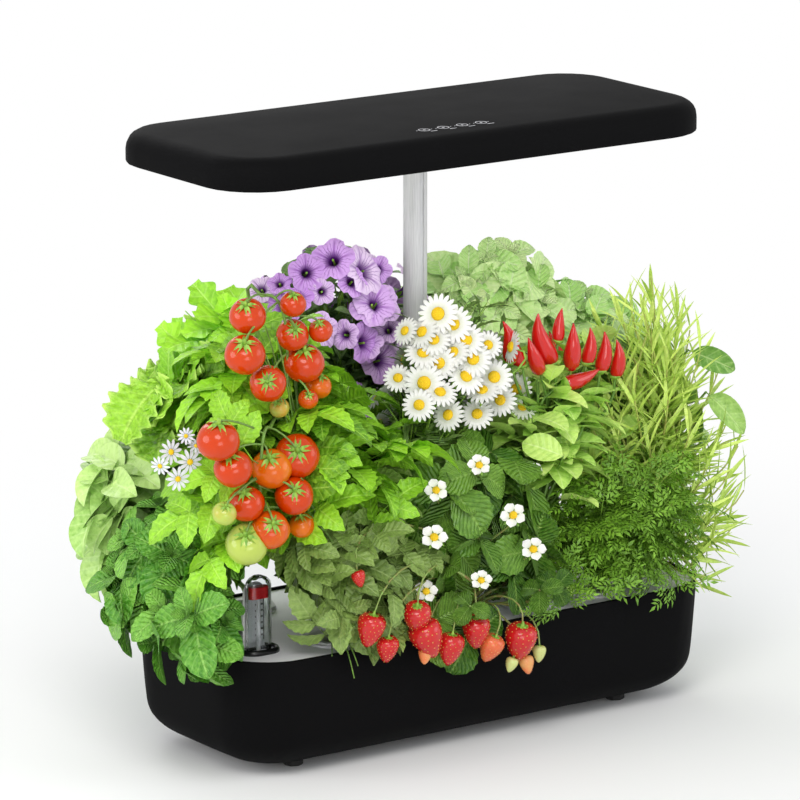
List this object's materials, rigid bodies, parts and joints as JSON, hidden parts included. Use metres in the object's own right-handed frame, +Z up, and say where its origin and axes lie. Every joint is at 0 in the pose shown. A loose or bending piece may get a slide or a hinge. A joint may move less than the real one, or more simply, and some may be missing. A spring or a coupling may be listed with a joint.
{
  "type": "countertop hydroponic garden",
  "caption": "Countertop hydroponic garden: planted pods in a deck over a black water tank, under a grow light on a telescopic pole, with a level window and a pump.",
  "frame": {"origin": "on the worktop under the middle of the garden, at the middle of the underside of its box", "axes": "+Z up, +X to the right along the tank, +Y to the back; the level window is at the front left"},
  "size_m": [0.51, 0.224, 0.4258],
  "materials": {
    "black_shell": "satin",
    "pale_deck": "satin",
    "basket_plastic": "matte",
    "sponge_foam": "matte",
    "clear_window": "gloss",
    "float_red": "gloss",
    "pole_aluminium": "satin",
    "frosted_plastic": "satin",
    "board_white": "satin",
    "board_green": "satin",
    "pin_steel": "satin",
    "foot_rubber": "matte",
    "foliage": "matte"
  },
  "bodies": {
    "planter": {"water_tank": "black_shell", "pole_socket": "black_shell", "pole_bushing": "black_shell", "pump_body": "black_shell", "pump_cover": "black_shell", "grow_deck": "pale_deck", "basket_01": "basket_plastic", "basket_02": "basket_plastic", "basket_03": "basket_plastic", "basket_04": "basket_plastic", "basket_05": "basket_plastic", "basket_06": "basket_plastic", "basket_07": "basket_plastic", "basket_08": "basket_plastic", "basket_09": "basket_plastic", "basket_10": "basket_plastic", "basket_11": "basket_plastic", "basket_12": "basket_plastic", "sponge_01": "sponge_foam", "sponge_02": "sponge_foam", "sponge_03": "sponge_foam", "sponge_04": "sponge_foam", "sponge_05": "sponge_foam", "sponge_06": "sponge_foam", "sponge_07": "sponge_foam", "sponge_08": "sponge_foam", "sponge_09": "sponge_foam", "sponge_10": "sponge_foam", "sponge_11": "sponge_foam", "sponge_12": "sponge_foam", "level_window": "clear_window", "outer_pole": "pole_aluminium", "flap_hinge_pin": "pin_steel", "impeller_shaft": "pin_steel", "foot_front_left": "foot_rubber", "foot_front_right": "foot_rubber", "foot_rear_right": "foot_rubber", "foot_rear_left": "foot_rubber", "plant_tomato": "foliage", "plant_strawberry": "foliage", "plant_daisy": "foliage", "plant_mint": "foliage", "plant_parsley": "foliage", "plant_rosemary": "foliage", "plant_chili": "foliage", "plant_petunia": "foliage", "plant_lemon_balm": "foliage", "plant_basil_left": "foliage", "plant_lettuce": "foliage", "plant_basil_right": "foliage"},
    "lamp": {"lamp_cover": "black_shell", "lamp_base": "black_shell", "lamp_diffuser": "frosted_plastic", "led_board": "board_white", "touch_board": "board_green", "power_inlet": "black_shell", "inner_pole": "pole_aluminium"},
    "float": {"level_float": "float_red"},
    "flap": {"fill_flap": "black_shell"},
    "impeller": {"pump_impeller": "frosted_plastic"}
  },
  "joints": [
    {"name": "lamp_height", "type": "slide", "parent": "planter", "child": "lamp", "axis": [0, 0, 1], "range_m": [0, 0.19]},
    {"name": "float_rise", "type": "slide", "parent": "planter", "child": "float", "axis": [0, 0, 1], "range_m": [-0.032, 0]},
    {"name": "flap_hinge", "type": "hinge", "parent": "planter", "child": "flap", "pos_m": [0.142, 0.042, 0.0871], "axis": [0, -1, 0], "range_deg": [0, 100]},
    {"name": "impeller_spin", "type": "hinge", "parent": "planter", "child": "impeller", "pos_m": [0, 0, 0.0187], "axis": [0, 1, 0], "continuous": true}
  ]
}
